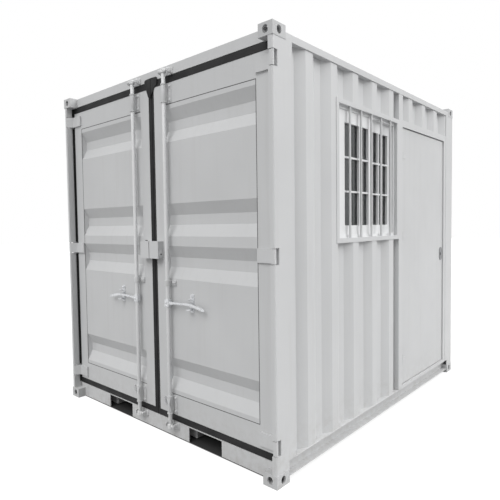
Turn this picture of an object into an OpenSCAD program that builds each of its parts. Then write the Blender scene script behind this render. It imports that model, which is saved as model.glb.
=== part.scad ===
// Short steel storage container with two cargo doors, a barred side
// window and a personnel door. Millimetres, +Z up. The origin is the
// centre of the footprint on the ground. The cargo doors face -Y and
// the wall with the window is on +X.

/* [Overall] */
// Overall length, front to back
body_length = 2743; // [2700:1:3400]
// Overall width
body_width = 2225; // [1850:1:2700]
// Overall height
body_height = 2500; // [2400:1:3000]

/* [Corner castings] */
// Casting size across the width
casting_x = 99; // [85:1:130]
// Casting size along the length
casting_y = 114; // [100:1:150]
// Casting height
casting_z = 73; // [65:1:90]
// Casting wall thickness
casting_wall = 11; // [8:1:14]
// Hole width in the casting faces
hole_width = 38; // [30:1:42]
// Hole length in the casting faces
hole_length = 46; // [43:1:50]
// Length of the slot in the casting ends
slot_length = 62; // [50:1:70]

/* [Steel sections] */
// Set-back of posts and top rails from the casting faces
frame_inset = 2; // [1:0.5:4]
// Wall of the posts and beams
tube_wall = 6; // [4:0.5:7]
// Plate of the bottom rails and cross members
rail_plate = 5; // [3:0.5:6]
// Thickness of corrugated sheet
sheet = 2; // [1.5:0.1:3]
// Outer corner radius of the front posts
post_radius = 12; // [6:1:14]
// Width of the rim beside a cargo door
rim_width = 34; // [30:1:38]
// Width of a post beside the cargo doorway, behind the doors
lip_width = 45.5; // [42:0.5:60]
// Distance of the cargo doorway's top below the roof
header_drop = 102; // [95:1:130]
// Height of the cargo doorway threshold
threshold_z = 142; // [136:1:150]
// Depth of a front post along the length
post_depth = 172; // [150:1:180]
// Depth of a rear post along the length
rear_post_depth = 166; // [150:1:180]
// Set-back of header and sill from the castings
beam_setback = 63; // [55:1:66]
// Depth of the beams behind their front faces
beam_depth = 60; // [50:1:70]
// Set-back of the beams' tops from the castings
beam_drop = 3; // [1:1:6]
// Height of a top side rail
top_rail_height = 39; // [30:1:50]
// Width of a top side rail
top_rail_width = 40; // [30:1:50]
// Wall of a top side rail
top_rail_wall = 4; // [3:0.5:6]
// Underside of the bottom side rails
rail_bottom_z = 32; // [20:1:40]
// Top of the bottom side rails
rail_top_z = 124; // [115:1:130]
// Depth of the bottom side rail channel
rail_depth = 50; // [45:1:60]
// Underside of the front sill and the rear bottom beam
sill_bottom_z = 5; // [2:1:10]

/* [Corrugated walls] */
// Pitch of the corrugations
pitch = 270; // [240:1:300]
// Depth of the corrugations
wall_depth = 36; // [25:1:38]
// Run of one slope
slope_run = 65; // [50:1:70]
// Width of an inner flat
inner_flat = 67; // [50:1:80]
// Start of the second recess behind the front face
recess_start = 382; // [360:1:390]
// Set-back of the walls' outer flats
wall_inset = 8; // [6:1:10]
// Depth of the roof corrugations
roof_depth = 20; // [12:1:28]
// Pitch of the roof corrugations
roof_pitch = 209; // [190:1:230]
// Run of one slope in the roof
roof_slope = 30; // [20:1:40]
// Width of a lower flat in the roof
roof_flat = 60; // [50:1:80]
// Start of the first roof corrugation behind the header
roof_start = 60; // [40:1:80]
// Shift of the corrugations over the side door
over_door_phase = 83; // [60:1:100]

/* [Floor and fork pockets] */
// Thickness of the floor board
floor_thick = 28; // [20:1:30]
// Fork pocket width
pocket_width = 306; // [250:1:330]
// Distance of a fork pocket's centre from the centre line
pocket_offset = 475; // [440:1:520]
// Top of the fork pocket opening
pocket_top_z = 103; // [90:1:104]
// Number of cross members
member_count = 6; // [4:1:7]
// Width of a cross member
member_width = 45; // [35:1:60]

/* [Cargo doors] */
// Set-back of the door faces from the castings
leaf_setback = 59; // [56:1:62]
// Thickness of a cargo door
leaf_thick = 50; // [45:1:56]
// Gap from a cargo door to the doorway's edge
leaf_gap = 12; // [10:1:16]
// Half of the gap between the two doors' steel edges
seam_half = 26; // [20:1:30]
// Plate thickness of a cargo door
leaf_plate = 4; // [3:0.5:5]
// Width of the folded frame round a cargo door
leaf_frame = 92; // [70:1:100]
// Depth of a pressed recess
press_depth = 36; // [25:1:38]
// Height of a pressed recess
press_height = 218; // [190:1:230]
// Slope run at the top and bottom of a recess
press_slope = 76; // [60:1:85]
// Slope run at the two ends of a recess
press_end = 10; // [6:1:20]
// Distance of a recess from the door's outer edge
press_outer = 109; // [100:1:130]
// Distance of a recess from the door's meeting edge
press_inner = 98; // [96:1:200]
// Height of the lowest recess above the ground
press_low_z = 330; // [320:1:340]
// Height of the second recess above the ground
press_mid_low_z = 1087; // [1050:1:1110]
// Height of the third recess above the ground
press_mid_high_z = 1370; // [1350:1:1400]
// Distance of the top recess's lower edge below the door's top
press_top_drop = 391; // [370:1:410]
// Set-back of the gasket behind the door faces
gasket_seat = 5; // [3:0.5:8]
// Thickness of the door gasket
gasket_thick = 12; // [8:1:13]
// Clearance between a gasket and what it closes on
gasket_gap = 5; // [5:0.5:7]
// Half of the gap between the two meeting gaskets
gasket_half_gap = 4.5; // [4:0.5:6]

/* [Hinges] */
// Distance of the hinge pin from the side and front faces
pin_inset = 13; // [12.5:0.5:15]
// Hinge pin radius
pin_radius = 6; // [4:0.5:7]
// Hinge barrel radius
barrel_radius = 10.5; // [9:0.5:11]
// Radial clearance on every pin and shaft
pin_clearance = 0.05; // [0.02:0.01:0.09]
// Hinge blade height
blade_height = 80; // [60:1:90]
// Hinge blade thickness
blade_thick = 11; // [8:1:12]
// Clearance above and below a hinge blade
blade_gap = 5; // [5:0.5:6]
// Depth of the notch in the post
notch_depth = 42; // [40:1:50]
// Reach of a hinge blade over the door
blade_reach = 107; // [80:1:107]
// Height of the lower hinge
hinge_low_z = 222; // [210:1:235]
// Distance of the upper hinge below the roof
hinge_top_drop = 188; // [180:1:200]

/* [Lock gear] */
// Distance of a lock rod from the centre line
rod_offset = 175; // [165:1:185]
// Lock rod radius
rod_radius = 13.5; // [12:0.5:16]
// Wall of the sleeves round a lock rod
sleeve_wall = 3.5; // [3:0.5:5]
// Set-back of the rod axis from the castings
rod_setback = 27; // [26:0.5:30]
// Radius swept by a cam
cam_reach = 30; // [26:1:32]
// Cam thickness
cam_thick = 22; // [16:1:26]
// Cam height
cam_height = 28; // [20:1:32]
// Clearance between a cam and its keeper
cam_gap = 6; // [5:0.5:8]
// Keeper cheek thickness
cheek = 12; // [8:1:14]
// Height of the lock handle above the ground
handle_z = 925; // [900:1:960]
// Reach of the lock handle from the rod axis
handle_reach = 355; // [300:1:380]
// Handle bar height
handle_height = 20; // [16:1:30]
// Handle bar thickness
handle_thick = 10; // [8:1:14]
// Distance of the handle catch from the rod axis
catch_reach = 212; // [190:1:240]
// Width of the handle catch
catch_width = 38; // [30:1:50]
// Height of the handle catch
catch_height = 124; // [100:1:140]
// Width of the lock box over the seam
box_width = 196; // [150:1:200]
// Height of the lock box
box_height = 118; // [90:1:120]
// Height of the lock box centre above the ground
box_z = 1277; // [1250:1:1290]
// Half of the slit between the lock box halves
box_half_gap = 3.5; // [3:0.5:4]

/* [Side window] */
// Distance of the window opening behind the front face
window_y = 668; // [660:1:680]
// Width of the window opening
window_width = 853; // [750:1:853]
// Sill height of the window opening
window_z = 1345; // [1300:1:1360]
// Height of the window opening
window_height = 853; // [750:1:870]
// Width of the steel window frame
window_frame_width = 30; // [24:1:36]
// Depth of the steel window frame
window_frame_depth = 52; // [48:1:60]
// Width of the fixed window lining
lining = 40; // [30:1:50]
// Width of a sash stile
stile = 43; // [36:1:50]
// Width of the front stile of the front sash
front_stile = 97; // [80:1:125]
// Width of the front stile of the rear sash
meeting_stile = 61; // [50:1:105]
// Height of a sash's top rail
sash_top = 80; // [60:1:90]
// Height of a sash's bottom rail
sash_bottom = 62; // [50:1:80]
// Width of a glazing bar
glazing_bar = 12; // [8:1:16]
// Length of the front sash
front_sash = 467; // [440:1:490]
// Overlap of the two sashes
sash_overlap = 10; // [5:1:40]
// Set-back of the sashes behind the window frame's face
sash_setback = 30; // [24:1:32]
// Thickness of one sash
sash_thick = 22; // [16:1:24]
// Glass thickness
glass_thick = 5; // [4:0.5:6]
// Number of window bars
bar_count = 5; // [4:1:7]
// Diameter of a window bar
bar_diameter = 16; // [12:1:20]

/* [Side door] */
// Start of the side doorway frame behind the front face
side_door_y = 1622; // [1600:1:1640]
// Width of the side door leaf
side_leaf_width = 893; // [780:1:893]
// Height of the side door's lower edge
side_leaf_z = 153; // [150:1:160]
// Height of the side door leaf
side_leaf_height = 2026; // [1800:1:2040]
// Thickness of the side door leaf
side_leaf_thick = 40; // [35:1:42]
// Set-back of the side door's face
side_leaf_setback = 14; // [12:1:16]
// Overlap of the side door on its frame
side_overlap = 50; // [30:1:60]
// Overlap of the side door's top on its frame
head_overlap = 75; // [50:1:90]
// Gap round the side door
side_gap = 6; // [5.5:0.5:8]
// Height of the beam over the side door
head_beam = 51; // [40:1:60]
// Radius of a side door hinge barrel
side_barrel = 8; // [7:0.5:9]
// Radius of a side door hinge pin
side_pin = 4; // [3:0.5:5]
// Height of a side door hinge
side_hinge_height = 80; // [60:1:100]
// Height of the side door lock above the ground
lock_z = 1152; // [1100:1:1200]

/* [Hidden] */
$fn = 48;
eps = 1;
half_w = body_width / 2;
half_l = body_length / 2;
post_top = body_height - casting_z;
post_height = post_top - casting_z;
doorway_width = body_width - 2 * lip_width;
gasket_y = leaf_setback + gasket_seat;
lip_y = gasket_y + gasket_thick + gasket_gap;
doorway_top = body_height - header_drop;
leaf_outer = lip_width + leaf_gap;
leaf_width = half_w - leaf_outer - seam_half;
leaf_bottom = threshold_z + leaf_gap;
leaf_top = doorway_top - leaf_gap;
leaf_height = leaf_top - leaf_bottom;
header_face_z = doorway_top + rim_width;
sill_rim = 33;
sill_face_z = threshold_z - sill_rim;
beam_back = lip_y + beam_depth;
rear_beam_y = half_l - frame_inset - beam_depth;
member_margin = 160;
barrel_gap = 2;
beam_top = body_height - beam_drop;
wall_bottom = rail_top_z;
wall_top = post_top;
wall_height = wall_top - wall_bottom;
pocket_inner = pocket_offset - pocket_width / 2;
floor_z = threshold_z - floor_thick;
hinge_top_z = body_height - hinge_top_drop;
hinge_heights = [hinge_low_z, (hinge_low_z + hinge_top_z) / 2, hinge_top_z];
press_top_z = leaf_top - press_top_drop;
press_heights = [press_low_z, press_mid_low_z, press_mid_high_z, press_top_z];
blade_root = 6;
blade_fillet = 4;
notch_height = blade_height + 2 * blade_gap;
lug_height = 14;
rod_below_sill = 42;
rod_over_header = 38;
rod_end = 3;
rod_bottom = sill_face_z - rod_below_sill;
rod_top = header_face_z + rod_over_header;
cam_low_z = rod_bottom + rod_end;
cam_top_z = rod_top - cam_height - rod_end;
cam_half = cam_reach - 3;
hub_radius = rod_radius + 7;
hub_height = 48;
sleeve_radius = rod_radius + sleeve_wall;
sleeve_web = 20;
keeper_height = 44;
keeper_foot = 9;
keeper_foot_thick = 8;
bearing_height = 125;
bearing_width = 84;
bearing_edge = 14;
guide_height = 60;
guide_width = 116;
guide_rise = 104;
catch_drop = 48;
shelf_thick = 10;
shelf_gap = 5;
box_setback = 10;
plate = 4;
window_end = window_y + window_width;
frame_start = window_y - window_frame_width;
frame_end = window_end + window_frame_width;
frame_low = window_z - window_frame_width;
frame_high = window_z + window_height + window_frame_width;
sash_y = window_y + lining / 2;
sash_end = window_end - lining / 2;
sash_low = window_z + lining / 2;
sash_high = window_z + window_height - lining / 2;
front_sash_end = sash_y + front_sash;
rear_sash_y = front_sash_end - sash_overlap;
sash_bar_depth = sash_thick - glass_thick;
front_upright = 0.61;
rear_upright = 0.41;
bar_margin = 0.7;
lining_front = 6;
lining_back = 8;
side_inset = 4;
sash_s = side_inset + sash_setback;
side_lip = 12;
side_lip_s = side_leaf_setback + side_leaf_thick + side_gap;
side_back = side_lip_s + side_lip;
jamb_solid = 24;
floor_gap = 4;
side_leaf_y = side_door_y + side_gap;
side_leaf_end = side_leaf_y + side_leaf_width;
side_leaf_top = side_leaf_z + side_leaf_height;
side_pin_y = side_door_y + side_barrel + barrel_gap;
side_pin_s = side_inset + side_barrel;
jamb_rear_start = side_leaf_end + side_gap;
jamb_rear_end = body_length - rear_post_depth;
head_z = side_leaf_top + side_gap;
knuckle = side_hinge_height / 3;
side_hinge_low = 198;
side_hinge_mid = 1183;
side_hinge_drop = 220;
side_hinge_heights = [side_leaf_z + side_hinge_low, side_leaf_z + side_hinge_mid,
    side_leaf_top - side_hinge_drop];
knuckle_gap = 0.3;
hinge_plate = 3;
hinge_plate_length = 60;
lock_margin = 45;
lock_plate = 4;
lock_plate_height = 120;
lock_plate_width = 62;
knob_radius = 15;

// A copy at the left front corner and one at the right front corner
module both_sides() {
    children();
    mirror([1, 0, 0]) children();
}

// Moves to the left front corner, where x and y run into the body
module left_corner() {
    translate([-half_w, -half_l, 0]) children();
}

// Moves to the right front corner, with x running inward
module right_corner() {
    mirror([1, 0, 0]) left_corner() children();
}

// A long hole with round ends, cut along Z
module oval(long_size, short_size, depth) {
    gap = long_size - short_size;
    linear_extrude(height = depth)
        union() {
            translate([-gap / 2, 0]) circle(d = short_size);
            translate([gap / 2, 0]) circle(d = short_size);
            translate([-gap / 2, -short_size / 2]) square([gap, short_size]);
        }
}

// One hollow casting with holes in its outer faces
module casting() {
    difference() {
        cube([casting_x, casting_y, casting_z]);
        translate([casting_wall, casting_wall, casting_wall])
            cube([casting_x - 2 * casting_wall, casting_y - 2 * casting_wall,
                casting_z - 2 * casting_wall]);
        translate([casting_x / 2, casting_wall + eps, casting_z / 2])
            rotate([90, 0, 0])
            rotate([0, 0, 90])
            oval(hole_length, hole_width, casting_wall + 2 * eps);
        translate([-eps, casting_y / 2, casting_z / 2])
            rotate([90, 0, 90])
            rotate([0, 0, 90])
            oval(hole_length, hole_width, casting_wall + 2 * eps);
        translate([casting_x / 2, casting_y / 2, -eps])
            rotate([0, 0, 90])
            oval(slot_length, hole_width, casting_wall + 2 * eps);
    }
}

// Castings at the four corners of the base
module bottom_castings() {
    color("silver")
        both_sides() {
            left_corner() casting();
            mirror([0, 1, 0]) left_corner() casting();
        }
}

// Castings at the four corners of the roof
module top_castings() {
    color("silver")
        translate([0, 0, body_height])
        mirror([0, 0, 1])
        both_sides() {
            left_corner() casting();
            mirror([0, 1, 0]) left_corner() casting();
        }
}

// Plan outline of a front post: a rim in front and a wider lip behind
module post_outline() {
    difference() {
        union() {
            translate([frame_inset, frame_inset])
                square([rim_width - frame_inset, lip_y - frame_inset]);
            translate([frame_inset, lip_y])
                square([lip_width - frame_inset, post_depth - lip_y]);
        }
        difference() {
            translate([frame_inset - eps, frame_inset - eps])
                square([post_radius + eps, post_radius + eps]);
            translate([frame_inset + post_radius, frame_inset + post_radius])
                circle(r = post_radius);
        }
        translate([frame_inset + tube_wall, frame_inset + tube_wall])
            square([rim_width - frame_inset - 2 * tube_wall,
                post_depth - frame_inset - 2 * tube_wall]);
        translate([frame_inset + tube_wall, lip_y + tube_wall])
            square([lip_width - frame_inset - 2 * tube_wall,
                post_depth - lip_y - 2 * tube_wall]);
    }
}

// One front post with its hinge notches, lugs and pins
module front_post() {
    left_corner() {
        difference() {
            union() {
                translate([0, 0, casting_z])
                    linear_extrude(height = post_height)
                    post_outline();
                for (z = hinge_heights) {
                    translate([frame_inset + tube_wall, frame_inset + tube_wall,
                        z - notch_height / 2 - lug_height])
                        cube([rim_width - frame_inset - 2 * tube_wall, notch_depth - tube_wall,
                            notch_height + 2 * lug_height]);
                }
            }
            for (z = hinge_heights) {
                translate([-eps, -eps, z - notch_height / 2])
                    cube([rim_width + 2 * eps, notch_depth + eps, notch_height]);
            }
            translate([-eps, casting_y, 0])
                cube([lip_width + 2 * eps, post_depth, rail_top_z]);
        }
        for (z = hinge_heights) {
            translate([pin_inset, pin_inset, z - notch_height / 2 - lug_height])
                cylinder(r = pin_radius, h = notch_height + 2 * lug_height);
        }
    }
}

// The two posts beside the cargo doors
module front_posts() {
    color("whitesmoke")
        both_sides() front_post();
}

// The two hollow posts at the back
module rear_posts() {
    color("whitesmoke")
        both_sides()
        mirror([0, 1, 0])
        left_corner()
        difference() {
            translate([frame_inset, frame_inset, casting_z])
                cube([lip_width - frame_inset, rear_post_depth - frame_inset, post_height]);
            translate([frame_inset + tube_wall, frame_inset + tube_wall, casting_z - eps])
                cube([lip_width - frame_inset - 2 * tube_wall,
                    rear_post_depth - frame_inset - 2 * tube_wall, post_height + 2 * eps]);
            translate([-eps, casting_y, 0])
                cube([lip_width + 2 * eps, rear_post_depth, rail_top_z]);
        }
}

// The beam over the cargo doors, with the lip that the gasket closes on
module door_header() {
    color("whitesmoke")
        difference() {
            translate([-half_w + lip_width, -half_l, 0])
                rotate([90, 0, 90])
                linear_extrude(height = doorway_width)
                difference() {
                    polygon([[beam_setback, header_face_z], [beam_setback, beam_top],
                        [beam_back, beam_top], [beam_back, doorway_top],
                        [lip_y, doorway_top], [lip_y, header_face_z]]);
                    translate([beam_setback + tube_wall, header_face_z + tube_wall])
                        square([beam_back - beam_setback - 2 * tube_wall,
                            beam_top - header_face_z - 2 * tube_wall]);
                    translate([lip_y + tube_wall, doorway_top + tube_wall])
                        square([beam_back - lip_y - 2 * tube_wall,
                            beam_top - doorway_top - 2 * tube_wall]);
                }
            both_sides()
                left_corner()
                translate([-eps, -eps, post_top])
                cube([casting_x + eps, casting_y + eps, casting_z + eps]);
            both_sides()
                left_corner()
                translate([-eps, casting_y - eps, post_top])
                cube([casting_x + eps, beam_back, casting_z + eps]);
        }
}

// Cut for a fork pocket through a beam
module pocket_cut(depth) {
    both_sides()
        translate([pocket_inner, 0, -eps])
        cube([pocket_width, depth, pocket_top_z + eps]);
}

// The sill under the cargo doors
module door_sill() {
    color("whitesmoke")
        difference() {
            translate([-half_w + lip_width, -half_l, 0])
                rotate([90, 0, 90])
                linear_extrude(height = doorway_width)
                difference() {
                    polygon([[beam_setback, sill_bottom_z], [beam_setback, sill_face_z],
                        [lip_y, sill_face_z], [lip_y, threshold_z],
                        [beam_back, threshold_z], [beam_back, sill_bottom_z]]);
                    translate([beam_setback + tube_wall, sill_bottom_z - eps])
                        square([beam_back - beam_setback - 2 * tube_wall,
                            pocket_top_z - sill_bottom_z + eps]);
                }
            translate([0, -half_l + beam_setback - eps, 0])
                pocket_cut(beam_back - beam_setback + 2 * eps);
            both_sides()
                left_corner()
                translate([-eps, -eps, -eps])
                cube([casting_x + eps, casting_y + eps, casting_z + eps]);
            both_sides()
                left_corner()
                translate([-eps, casting_y - eps, -eps])
                cube([side_inset + rail_depth + eps, beam_back, rail_top_z + eps]);
        }
}

// Box beam across the back at the roof
module rear_top_beam() {
    beam_len = body_width - 2 * casting_x;
    color("whitesmoke")
        translate([-beam_len / 2, rear_beam_y, post_top])
        difference() {
            cube([beam_len, beam_depth, beam_top - post_top]);
            translate([-eps, tube_wall, tube_wall])
                cube([beam_len + 2 * eps, beam_depth - 2 * tube_wall,
                    beam_top - post_top - 2 * tube_wall]);
        }
}

// Channel beam across the back at the base, with fork pockets
module rear_bottom_beam() {
    beam_len = body_width - 2 * casting_x;
    color("whitesmoke")
        difference() {
            translate([-beam_len / 2, rear_beam_y, sill_bottom_z])
                cube([beam_len, beam_depth, rail_top_z - sill_bottom_z]);
            translate([-beam_len / 2 - eps, rear_beam_y + tube_wall, sill_bottom_z - eps])
                cube([beam_len + 2 * eps, beam_depth - 2 * tube_wall,
                    pocket_top_z - sill_bottom_z + eps]);
            translate([0, rear_beam_y - eps, 0])
                pocket_cut(beam_depth + 2 * eps);
        }
}

// The two box rails along the roof
module top_side_rails() {
    rail_len = body_length - 2 * casting_y;
    color("whitesmoke")
        both_sides()
        translate([-half_w + frame_inset, -rail_len / 2, post_top])
        difference() {
            cube([top_rail_width, rail_len, top_rail_height]);
            translate([top_rail_wall, -eps, top_rail_wall])
                cube([top_rail_width - 2 * top_rail_wall, rail_len + 2 * eps,
                    top_rail_height - 2 * top_rail_wall]);
        }
}

// The two channels along the base, open to the outside
module bottom_side_rails() {
    rail_len = body_length - 2 * casting_y;
    color("whitesmoke")
        both_sides()
        translate([-half_w + side_inset, -rail_len / 2, rail_bottom_z])
        difference() {
            cube([rail_depth, rail_len, rail_top_z - rail_bottom_z]);
            translate([-eps, -eps, rail_plate])
                cube([rail_depth - rail_plate + eps, rail_len + 2 * eps,
                    rail_top_z - rail_bottom_z - 2 * rail_plate]);
        }
}

// Two inverted channels that carry the forks from front to back
module fork_tubes() {
    start_y = -half_l + beam_back;
    tube_len = rear_beam_y - start_y;
    color("whitesmoke")
        both_sides()
        translate([pocket_inner - rail_plate, start_y, sill_bottom_z])
        difference() {
            cube([pocket_width + 2 * rail_plate, tube_len, pocket_top_z + rail_plate - sill_bottom_z]);
            translate([rail_plate, -eps, -eps])
                cube([pocket_width, tube_len + 2 * eps, pocket_top_z - sill_bottom_z + eps]);
        }
}

// Channels under the floor, cut where the fork tubes pass
module cross_members() {
    span = body_width - 2 * (side_inset + rail_depth);
    start_y = -half_l + beam_back + member_margin;
    end_y = rear_beam_y - member_margin - member_width;
    step = (end_y - start_y) / (member_count - 1);
    color("whitesmoke")
        difference() {
            for (i = [0 : member_count - 1]) {
                translate([-span / 2, start_y + i * step, rail_bottom_z])
                    difference() {
                        cube([span, member_width, floor_z - rail_bottom_z]);
                        translate([-eps, rail_plate, rail_plate])
                            cube([span + 2 * eps, member_width,
                                floor_z - rail_bottom_z - 2 * rail_plate]);
                    }
            }
            both_sides()
                translate([pocket_inner - rail_plate, -half_l, -eps])
                cube([pocket_width + 2 * rail_plate, body_length,
                    pocket_top_z + rail_plate + eps]);
        }
}

// The board floor inside
module floor_board() {
    inner_w = body_width - 2 * (side_inset + rail_depth);
    start_y = -half_l + beam_back;
    end_y = half_l - wall_inset - wall_depth - sheet - floor_gap;
    color("burlywood")
        difference() {
            translate([-inner_w / 2, start_y, floor_z])
                cube([inner_w, end_y - start_y, floor_thick]);
            right_corner()
                translate([-eps, frame_end, floor_z - eps])
                cube([side_back + eps, jamb_rear_end - frame_end, floor_thick + 2 * eps]);
            translate([-half_w, rear_beam_y, floor_z - eps])
                cube([body_width, beam_depth, rail_top_z - floor_z + eps]);
        }
}

// Depth of a corrugation at one run from its start
function zigzag(base, depth, run, flat, step, count) = [
    for (i = [0 : count - 1])
        for (p = [[0, 0], [run, depth], [run + flat, depth], [2 * run + flat, 0]])
            [base + i * step + p[0], p[1]]
];

function reversed(list) = [for (i = [len(list) - 1 : -1 : 0]) list[i]];

// A corrugated strip in plan: x is the run, y the depth
module corrugated_strip(base, depth, run, flat, step, count, thick) {
    line = zigzag(base, depth, run, flat, step, count);
    back = [for (p = reversed(line)) [p[0], p[1] + thick]];
    first = base - step;
    last = base + count * step;
    polygon(concat([[first, thick], [first, 0]], line, [[last, 0], [last, thick]], back));
}

// A corrugated side wall on the left, from start to finish and low to high
module side_sheet(start, finish, low, high, phase) {
    count = ceil(body_length / pitch) + 1;
    left_corner()
        intersection() {
            translate([wall_inset, 0, low])
                mirror([1, -1, 0])
                linear_extrude(height = high - low)
                corrugated_strip(recess_start - pitch + phase, wall_depth, slope_run,
                    inner_flat, pitch, count, sheet);
            translate([-eps, start, low - eps])
                cube([2 * wall_depth, finish - start, high - low + 2 * eps]);
        }
}

// Corrugated wall on the left side
module left_wall() {
    color("gainsboro")
        side_sheet(post_depth, body_length - rear_post_depth, wall_bottom, wall_top, 0);
}

// Corrugated wall between the front post and the window
module right_wall_front() {
    color("gainsboro")
        mirror([1, 0, 0])
        side_sheet(post_depth, frame_start, wall_bottom, wall_top, 0);
}

// Corrugated wall below the window
module right_wall_below() {
    color("gainsboro")
        mirror([1, 0, 0])
        side_sheet(frame_start, frame_end, wall_bottom, frame_low, 0);
}

// Corrugated wall above the window
module right_wall_above() {
    color("gainsboro")
        mirror([1, 0, 0])
        side_sheet(frame_start, frame_end, frame_high, wall_top, 0);
}

// Corrugated wall above the side door
module wall_over_door() {
    color("gainsboro")
        mirror([1, 0, 0])
        side_sheet(side_door_y, jamb_rear_end, head_z + head_beam, wall_top, over_door_phase);
}

// Corrugated wall across the back
module rear_wall() {
    span = body_width - 2 * lip_width;
    count = ceil(span / pitch) + 2;
    color("gainsboro")
        intersection() {
            translate([-span / 2, half_l - wall_inset - wall_depth, wall_bottom])
                mirror([0, 1, 0])
                translate([0, -wall_depth, 0])
                linear_extrude(height = wall_height)
                corrugated_strip((span - pitch * floor(span / pitch)) / 2
                    + (pitch - inner_flat - 2 * slope_run) / 2, wall_depth, slope_run,
                    inner_flat, pitch, count, sheet);
            translate([-span / 2, 0, 0])
                cube([span, half_l, body_height]);
        }
}

// Corrugated sheet over the roof
module roof_sheet() {
    span = body_width - 2 * (frame_inset + top_rail_width);
    start_y = -half_l + beam_back;
    roof_len = rear_beam_y - start_y;
    count = ceil(roof_len / roof_pitch) + 1;
    color("gainsboro")
        intersection() {
            translate([-span / 2, start_y, post_top + top_rail_height])
                rotate([90, 0, 90])
                mirror([0, 1, 0])
                linear_extrude(height = span)
                corrugated_strip(roof_start, roof_depth, roof_slope, roof_flat,
                    roof_pitch, count, sheet);
            difference() {
                translate([-span / 2, start_y, 0])
                    cube([span, roof_len, body_height]);
                both_sides()
                    mirror([0, 1, 0])
                    left_corner()
                    cube([casting_x, casting_y, body_height + eps]);
            }
        }
}

// A ring of steel in the plane of the right wall
module wall_ring(y0, y1, z0, z1, width, s0, s1) {
    translate([s0, y0 - width, z0 - width])
        difference() {
            cube([s1 - s0, y1 - y0 + 2 * width, z1 - z0 + 2 * width]);
            translate([-eps, width, width])
                cube([s1 - s0 + 2 * eps, y1 - y0, z1 - z0]);
        }
}

// Steel frame round the window opening
module window_frame() {
    color("whitesmoke")
        right_corner()
        wall_ring(window_y, window_end, window_z, window_z + window_height,
            window_frame_width, side_inset, side_inset + window_frame_depth);
}

// One sash: stiles and rails with two cross bars and one upright bar
module sash(y0, y1, near_stile, upright, s0) {
    glass_y = y1 - stile - y0 - near_stile;
    glass_z = sash_high - sash_top - sash_low - sash_bottom;
    translate([s0, y0, sash_low])
        difference() {
            cube([sash_thick, y1 - y0, sash_high - sash_low]);
            translate([-eps, near_stile, sash_bottom])
                cube([sash_thick + 2 * eps, glass_y, glass_z]);
        }
    for (k = [1, 2]) {
        translate([s0, y0 + near_stile,
            sash_low + sash_bottom + k * glass_z / 3 - glazing_bar / 2])
            cube([sash_bar_depth, glass_y, glazing_bar]);
    }
    translate([s0, y0 + near_stile + glass_y * upright - glazing_bar / 2,
        sash_low + sash_bottom])
        cube([sash_bar_depth, glazing_bar, glass_z]);
}

// Fixed lining and the two sliding sashes
module window_sashes() {
    color("white")
        right_corner() {
            wall_ring(sash_y, sash_end, sash_low, sash_high, lining / 2,
                sash_s - lining_front, sash_s + 2 * sash_thick + lining_back);
            sash(sash_y, front_sash_end, front_stile, front_upright, sash_s);
            sash(rear_sash_y, sash_end, meeting_stile, rear_upright, sash_s + sash_thick);
        }
}

// One pane behind the glazing bars of a sash
module pane(y0, y1, near_stile, s0) {
    translate([s0 + sash_bar_depth, y0 + near_stile, sash_low + sash_bottom])
        cube([glass_thick, y1 - stile - y0 - near_stile,
            sash_high - sash_top - sash_low - sash_bottom]);
}

// The two panes
module window_glass() {
    color("lightblue")
        right_corner() {
            pane(sash_y, front_sash_end, front_stile, sash_s);
            pane(rear_sash_y, sash_end, meeting_stile, sash_s + sash_thick);
        }
}

// Upright bars in front of the window
module window_bars() {
    step = window_width / (bar_count + bar_margin);
    color("whitesmoke")
        right_corner()
        for (i = [1 : bar_count]) {
            translate([side_inset + bar_diameter / 2 + eps, window_y + i * step, window_z])
                cylinder(d = bar_diameter, h = window_height);
        }
}

// Post between the window and the side door, with a lip behind the door
module jamb_post() {
    color("whitesmoke")
        right_corner()
        difference() {
            union() {
                translate([side_inset, frame_end, rail_top_z])
                    cube([side_back - side_inset, side_door_y - frame_end, wall_height]);
                translate([side_lip_s, side_door_y - eps, rail_top_z])
                    cube([side_back - side_lip_s, side_gap + side_overlap + eps,
                        head_z - rail_top_z]);
            }
            translate([side_inset + tube_wall, frame_end + tube_wall, rail_top_z - eps])
                cube([side_back - side_inset - 2 * tube_wall,
                    side_door_y - frame_end - jamb_solid, wall_height + 2 * eps]);
        }
}

// Head, threshold and rear jamb round the side door
module side_door_frame() {
    lip_low = side_door_y + side_gap + side_overlap;
    lip_high = side_leaf_end - side_overlap;
    lip_top = side_leaf_top - head_overlap;
    color("whitesmoke")
        right_corner() {
            translate([side_inset, side_door_y, head_z])
                cube([side_back - side_inset, jamb_rear_end - side_door_y, head_beam]);
            translate([side_lip_s, lip_low, lip_top])
                cube([side_back - side_lip_s, lip_high - lip_low, head_z - lip_top]);
            translate([side_inset, side_door_y, rail_top_z])
                cube([side_lip_s - side_inset, jamb_rear_start - side_door_y,
                    side_leaf_z - side_gap - rail_top_z]);
            translate([side_lip_s, lip_high, rail_top_z])
                cube([side_back - side_lip_s, jamb_rear_start - lip_high, head_z - rail_top_z]);
            translate([side_inset, jamb_rear_start, rail_top_z])
                cube([side_back - side_inset, jamb_rear_end - jamb_rear_start,
                    head_z - rail_top_z]);
        }
}

// Fixed knuckles and pins of the side door hinges
module side_hinge_posts() {
    color("silver")
        right_corner()
        for (z = side_hinge_heights) {
            translate([side_pin_s, side_pin_y, z - side_hinge_height / 2])
                cylinder(r = side_pin, h = side_hinge_height);
            for (k = [0, 2]) {
                translate([side_pin_s, side_pin_y, z - side_hinge_height / 2 + k * knuckle])
                    cylinder(r = side_barrel, h = knuckle);
                translate([side_pin_s, side_door_y, z - side_hinge_height / 2 + k * knuckle])
                    cube([side_barrel, side_pin_y - side_door_y, knuckle]);
            }
        }
}

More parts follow.
